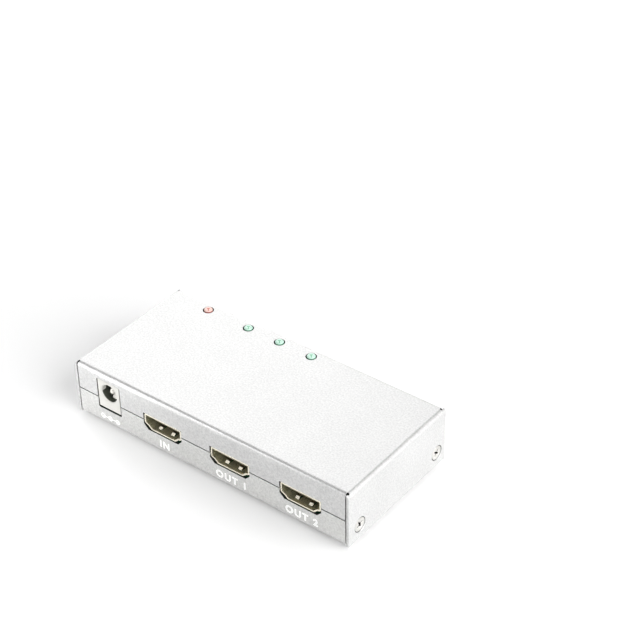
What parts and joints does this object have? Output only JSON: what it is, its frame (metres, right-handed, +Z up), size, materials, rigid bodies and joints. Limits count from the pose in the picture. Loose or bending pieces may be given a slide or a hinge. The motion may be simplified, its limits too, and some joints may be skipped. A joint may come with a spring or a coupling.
{
  "type": "hdmi splitter",
  "caption": "Small sheet metal HDMI splitter box with a power jack, an input socket, output sockets and signal lamps.",
  "frame": {"origin": "on the table, under the middle of the case, at the bottom of the feet", "axes": "+X along the width, to the right as seen from the sockets; +Y from the front with the sockets to the back; +Z up"},
  "size_m": [0.108, 0.05, 0.022],
  "materials": {
    "top_cover": "fine textured powder coat, pale grey",
    "bottom_tray": "fine textured powder coat, pale grey",
    "side_screws": "nickel plated",
    "rubber_feet": "matt",
    "standoffs": "zinc plated",
    "board_screws": "zinc plated",
    "circuit_board": "green solder mask",
    "dc_jack_housing": "moulded, satin",
    "dc_jack_pin": "tin plated",
    "dc_jack_spring": "tin plated",
    "dc_jack_switch": "tin plated",
    "splitter_chip": "moulded black",
    "splitter_chip_leads": "tin plated",
    "memory_chips": "moulded black",
    "memory_chip_leads": "tin plated",
    "regulator": "moulded black",
    "regulator_leads": "tin plated",
    "inductor": "ferrite grey",
    "crystal": "nickel plated can",
    "capacitor_base": "moulded black",
    "capacitor_can": "satin can",
    "chip_capacitors": null,
    "chip_resistors": null,
    "hdmi_input_shell": "pale gold plated shell",
    "hdmi_input_insulator": "moulded black",
    "hdmi_input_contacts": "gold plated",
    "hdmi_output_1_shell": "pale gold plated shell",
    "hdmi_output_1_insulator": "moulded black",
    "hdmi_output_1_contacts": "gold plated",
    "hdmi_output_2_shell": "pale gold plated shell",
    "hdmi_output_2_insulator": "moulded black",
    "hdmi_output_2_contacts": "gold plated",
    "led_power_lens": "clear tinted epoxy",
    "led_power_legs": "tin plated",
    "led_input_lens": "clear tinted epoxy",
    "led_input_legs": "tin plated",
    "led_output_1_lens": "clear tinted epoxy",
    "led_output_1_legs": "tin plated",
    "led_output_2_lens": "clear tinted epoxy",
    "led_output_2_legs": "tin plated"
  },
  "bodies": {
    "root": {"top_cover": "top_cover", "bottom_tray": "bottom_tray", "side_screws": "side_screws", "rubber_feet": "rubber_feet", "standoffs": "standoffs", "board_screws": "board_screws", "circuit_board": "circuit_board", "dc_jack_housing": "dc_jack_housing", "dc_jack_pin": "dc_jack_pin", "dc_jack_spring": "dc_jack_spring", "dc_jack_switch": "dc_jack_switch", "splitter_chip": "splitter_chip", "splitter_chip_leads": "splitter_chip_leads", "memory_chips": "memory_chips", "memory_chip_leads": "memory_chip_leads", "regulator": "regulator", "regulator_leads": "regulator_leads", "inductor": "inductor", "crystal": "crystal", "capacitor_base": "capacitor_base", "capacitor_can": "capacitor_can", "chip_capacitors": "chip_capacitors", "chip_resistors": "chip_resistors", "hdmi_input_shell": "hdmi_input_shell", "hdmi_input_insulator": "hdmi_input_insulator", "hdmi_input_contacts": "hdmi_input_contacts", "hdmi_output_1_shell": "hdmi_output_1_shell", "hdmi_output_1_insulator": "hdmi_output_1_insulator", "hdmi_output_1_contacts": "hdmi_output_1_contacts", "hdmi_output_2_shell": "hdmi_output_2_shell", "hdmi_output_2_insulator": "hdmi_output_2_insulator", "hdmi_output_2_contacts": "hdmi_output_2_contacts", "led_power_lens": "led_power_lens", "led_power_legs": "led_power_legs", "led_input_lens": "led_input_lens", "led_input_legs": "led_input_legs", "led_output_1_lens": "led_output_1_lens", "led_output_1_legs": "led_output_1_legs", "led_output_2_lens": "led_output_2_lens", "led_output_2_legs": "led_output_2_legs"}
  },
  "joints": []
}
